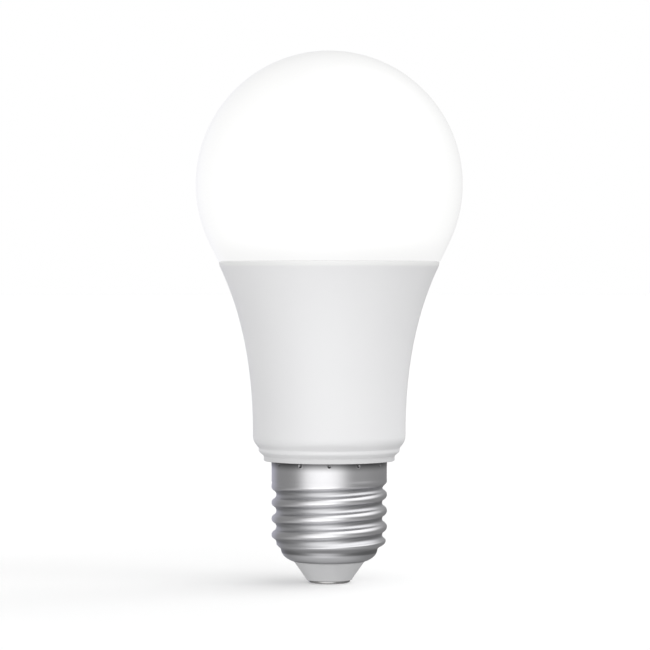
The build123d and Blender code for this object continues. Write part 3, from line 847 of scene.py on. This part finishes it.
def blue_lacquer():
    finish = moulded("blue_lacquer", (0.02, 0.09, 0.32), (0.04, 0.14, 0.42), 0.2, 1.4, 0.06, Coat_Weight=0.6)
    over(finish, finish.between(finish.at("Y"), -0.72, -0.86), tin, 0.3, 1.0)
    return finish


def grey_ceramic():
    finish = moulded("grey_ceramic", (0.38, 0.42, 0.40), (0.48, 0.52, 0.50), 0.5, 4.0, 0.02)
    z = finish.at("Z")
    brown = (0.22, 0.09, 0.03)
    black = (0.02, 0.02, 0.02)
    gold = (0.62, 0.42, 0.10)
    for height, colour in ((15.4, brown), (16.5, black), (17.6, black), (18.8, gold)):
        over(finish, stripe(finish, z, height - 0.25, height + 0.25, 0.04), colour, 0.4)
    over(finish, finish.between(z, 21.0, 21.04) + finish.between(z, 13.0, 12.96), tin, 0.3, 1.0)
    return finish


def black_rubber():
    finish = moulded("black_rubber", (0.015, 0.015, 0.015), (0.03, 0.03, 0.03), 0.5, 3.0, 0.02)
    ripples = finish.noise(finish.place(), 1.0, 3.0, (1.2, 1.2, 0.35))
    finish.bump(ripples, 0.08, 0.7)
    return finish


def yellow_box():
    finish = moulded("yellow_box", (0.72, 0.52, 0.06), (0.82, 0.62, 0.10), 0.36, 7.0)
    over(finish, finish.between(finish.at("Y"), -0.92, -1.02), (0.42, 0.30, 0.05), 0.2)
    return finish


finishes["black_sleeve"] = {node: sleeved_can(node) for node in ("bulk_capacitor", "output_capacitor")}
finishes["blue_lacquer"] = blue_lacquer()
finishes["grey_ceramic"] = grey_ceramic()
finishes["black_rubber"] = black_rubber()
finishes["yellow_box"] = yellow_box()

# %% [markdown]
# ## Chokes and transformer
# Ferrite is pressed powder: dark, dull and faintly speckled. Enamelled copper shows its turns as fine ridges
# along the coil's axis, with a painted dark line of shade between them. The transformer's yellow tape
# overlaps itself, turn by turn.

# %% Ferrite, windings, tape and bobbin
def ferrite():
    finish = moulded("ferrite", (0.055, 0.05, 0.05), (0.09, 0.085, 0.08), 0.55, 5.0, 0.03)
    specks = finish.between(finish.noise(finish.place(), 9.0, 1.0), 0.66, 0.74)
    over(finish, specks * 0.5, (0.28, 0.27, 0.26), 0.35, 0.6)
    return finish


def copper():
    finish = worked_metal("copper", (0.52, 0.18, 0.06), (0.72, 0.28, 0.10), 0.26, (6, 0.5, 6))
    turns = nearest(finish.at("Y") + finish.noise(finish.place(), 0.4) * 0.12, 0.34)
    # Painted shade: a dark line between the turns.
    over(finish, finish.between(turns, 0.05, 0.0) * 0.8, (0.16, 0.05, 0.02), 0.5, 1.0)
    finish.bump(finish.between(turns, 0.0, 0.17), 0.08, 0.9)
    return finish


def yellow_tape():
    finish = moulded("yellow_tape", (0.80, 0.60, 0.05), (0.90, 0.72, 0.12), 0.22, 3.0, 0.01)
    x, y, z = finish.at("XYZ")
    angle = y.math("ARCTAN2", y - 3.4, x + 5.0)
    lap = nearest(z + angle * 0.12, 2.2)
    over(finish, finish.between(lap, 0.1, 0.0) * 0.7, (0.52, 0.36, 0.02), 0.35)
    finish.bump(finish.between(lap, 0.0, 0.25), 0.05, 0.8)
    return finish


finishes["ferrite"] = ferrite()
finishes["copper"] = copper()
finishes["yellow_tape"] = yellow_tape()
nylon = ((0.02, 0.02, 0.022), (0.045, 0.045, 0.048))
finishes["black_plastic"] = moulded("black_plastic", *nylon, 0.42, 4.0, 0.02)

# %% [markdown]
# ## Chips and small surface parts
# A chip's black epoxy has a fine matt skin, with a tiny round mark in one corner and tinned legs at its
# sides. Chip resistors are black between two tinned ends, and ceramic capacitors are brown between them.

# %% Chips, small parts, tinned metal and red wire
def chip_plastic(node):
    low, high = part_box(node)
    left, right, head = low[0] / mm, high[0] / mm, high[2] / mm
    finish = moulded("chip_plastic_" + node, (0.018, 0.018, 0.02), (0.035, 0.035, 0.037), 0.5, 9.0, 0.01)
    x, z = finish.at("XZ")
    if node == "smd_resistors":
        over(finish, finish.between(nearest(x, 3.4, 0.4), 0.66, 0.72), tin, 0.28, 1.0)
        return finish
    across, up = x - (left + 1.9), z - (head - 0.8)
    mark = finish.between(across * across + up * up, 0.16, 0.12)
    over(finish, mark, (0.10, 0.10, 0.10), 0.25)
    if node != "radio_chip":
        legs = finish.between(x, left + 0.99, left + 0.95) + finish.between(x, right - 0.99, right - 0.95)
        over(finish, legs, tin, 0.28, 1.0)
    return finish


def chip_ceramic():
    finish = moulded("chip_ceramic", (0.42, 0.30, 0.18), (0.52, 0.38, 0.24), 0.45, 8.0, 0.01)
    x, z = finish.at("XZ")
    upper = finish.between(z, 40.0, 40.1)
    ends = finish.between(nearest(x, 3.6, 2.0), 0.66, 0.72) * upper
    ends = ends + finish.between(nearest(x, 9.0, 4.5), 0.66, 0.72) * (1 - upper)
    over(finish, ends, tin, 0.28, 1.0)
    return finish


chips = [node for node, part in slots.items() if part == "chip_plastic"]
finishes["chip_plastic"] = {node: chip_plastic(node) for node in chips}
finishes["chip_ceramic"] = chip_ceramic()
solder = ((0.62, 0.61, 0.59), (0.78, 0.77, 0.75))
finishes["tinned_metal"] = worked_metal("tinned_metal", *solder, 0.3, (1.5, 1.5, 1.5))
finishes["red_wire"] = moulded("red_wire", (0.42, 0.015, 0.01), (0.56, 0.03, 0.02), 0.3, 2.0, 0.01)

# %% Put each finish on its pieces
replaced = {
    "diffuser_dome": dome,
    "housing_shell": housing,
    "cap_shell": screw_shell,
    "cap_insulator": insulator,
    "centre_contact": contact,
}
for name, node in nodes.items():
    piece = replaced.get(name, node)
    finish = finishes[slots[name]]
    if isinstance(finish, dict):
        finish = finish[name]
    piece.data.materials.clear()
    piece.data.materials.append(finish.material)
print("finishes:", len(finishes), "slots:", len(set(slots.values())))

# %% [markdown]
# ## The floor
# A large pale plane runs to white far away. It glows a little, which keeps the bulb's soft shadow faint.
# The pieces neither mirror it nor take its light, because a white floor would fill the metal and the
# collar from below: the world does that more gently.

# %% Floor
bpy.ops.object.select_all(action="DESELECT")
bpy.ops.mesh.primitive_plane_add(size=60.0, location=(0, 0, 0))
floor = bpy.context.object
floor.name = "pale_floor"
floor.visible_glossy = False
floor.visible_diffuse = False
pale = Finish("pale_floor", Roughness=0.9, Specular_IOR_Level=0.0, Emission_Strength=1.0)
pale.shade("Base Color", (0.8, 0.8, 0.8))
pale.shade("Emission Color", (0.2, 0.2, 0.2))
floor.data.materials.append(pale.material)

# %% [markdown]
# ## The world
# The camera sees plain white. The pieces are lit by a grey world with one broad bright front. Metal is
# only as good as what it mirrors, so mirrored rays see more: darker surroundings, bright slopes above
# and below the level in front, one bright patch at the upper right, a pale patch on the ground, and a
# faint bluish one behind on the left. Each is a smooth step on a direction, so it stays in its place
# when the camera goes round.

# %% World
world = bpy.data.worlds.new("soft_studio")
bpy.context.scene.world = world
world.use_nodes = True


class WorldFinish(Finish):
    """The same node helpers on the world's tree."""

    def __init__(self, world):
        self.tree = world.node_tree
        self.shader = self.tree.nodes["Background"]


studio = WorldFinish(world)
direction = studio.add("ShaderNodeTexCoord", output="Generated")


def towards(x, y, z, low, high):
    """A soft patch of light in one direction, from 0 at low to 1 at high, as cosines."""
    length = math.sqrt(x * x + y * y + z * z)
    aim = (x / length, y / length, z / length)
    product = {"operation": "DOT_PRODUCT"}
    nearness = studio.add("ShaderNodeVectorMath", product, {0: direction, 1: aim}, "Value")
    return studio.between(nearness, low, high)


x, y, z = (studio.part(direction, axis) for axis in "XYZ")
level_part = (x * x + y * y).root()
ahead = studio.between((x * -0.2 - y * 0.98) / level_part, 0.62, 0.96)
slopes = ahead * studio.between(z * z, 0.05, 0.3) * studio.between(z * z, 0.97, 0.6)
front = towards(-0.22, -1.0, -0.08, 0.54, 0.99)
upper_right = towards(0.55, -0.2, 0.8, 0.5, 0.95)
floor_ahead = towards(-0.1, -0.35, -0.9, 0.3, 0.9)
back_left = towards(-0.42, 1.0, 0.0, 0.86, 0.97)
mirrored = studio.add("ShaderNodeLightPath", output="Is Glossy Ray")
surround = 0.517
metal_surround = 0.27
seen_in_metal = slopes * 0.45 + upper_right * 1.1 + floor_ahead * 0.24 + back_left * 0.25
seen_in_metal = seen_in_metal - (surround - metal_surround)
grey = surround + front * (1.12 - mirrored * 0.13) + floor_ahead * 0.06 + mirrored * seen_in_metal
blue = grey + mirrored * back_left * 0.08
light = studio.add("ShaderNodeCombineColor", inputs={0: grey, 1: grey, 2: blue})
seen = studio.add("ShaderNodeLightPath", output="Is Camera Ray")
studio.shade("Color", studio.blend(seen, light, (1.0, 1.0, 1.0)))

# %% [markdown]
# ## Soft lamps
# A sun lamp with a wide angle acts as a large softbox far away. Light linking lets each one reach only
# the pieces that it is meant for, as black flags do in a studio. Three low ones at the right give the
# floor its soft shadow at the left, three round the white housing and the insulator, and two keep the
# dome's sides from going grey. None of them shows as a glint: what the pieces mirror is the world's work.

# %% Lamps
def softbox(name, towards_it, spread, energy, lit):
    """A soft lamp far away in one direction, that lights only the pieces it is meant for."""
    bpy.ops.object.select_all(action="DESELECT")
    bpy.ops.object.light_add(type="SUN", location=(0, 0, 0.3))
    lamp = bpy.context.object
    lamp.name = name
    lamp.data.energy = energy
    lamp.data.angle = math.radians(spread)
    lamp.visible_glossy = False
    lamp.rotation_euler = mathutils.Vector(towards_it).to_track_quat("Z", "Y").to_euler()
    receivers = bpy.data.collections.new("lit_by_" + name)
    for piece in lit:
        receivers.objects.link(piece)
    lamp.light_linking.receiver_collection = receivers


for bearing in (-50, 0, 50):
    turn = math.radians(bearing)
    softbox("side_softbox_" + str(bearing), (math.cos(turn), math.sin(turn) + 0.05, 0.47), 70, 1.15, [floor])
softbox("key_softbox", (0.55, -0.2, 0.8), 86, 1.24, [housing, insulator])
softbox("left_softbox", (-0.6, 1.0, 0.0), 55, 1.64, [housing, insulator])
softbox("right_softbox", (1.0, 1.0, 0.4), 55, 1.08, [housing, insulator])
softbox("dome_right", (1.0, -0.3, 0.15), 80, 0.86, [dome])
softbox("dome_left", (-1.0, -0.1, 0.1), 80, 0.3, [dome])

# %% [markdown]
# ## The camera
# A long lens, a little above the bulb's middle and tilted slightly down, as in a catalogue: the
# bulb's upright lines stay parallel, and the seam and the thread curve only a little.

# %% Camera
distance = 0.6283
camera_height = 0.067
aim_height = 0.0582
bpy.ops.object.camera_add(location=(-0.957 * mm, -distance, camera_height))
camera = bpy.context.object
camera.name = "product_camera"
camera.data.lens = 154.1
camera.data.sensor_width = 36.0
camera.data.clip_start = 0.01
camera.data.clip_end = 20.0
camera.rotation_euler = (math.pi / 2 - math.atan2(camera_height - aim_height, distance), 0, 0)
bpy.context.scene.camera = camera
bpy.context.scene.view_settings.view_transform = "Standard"
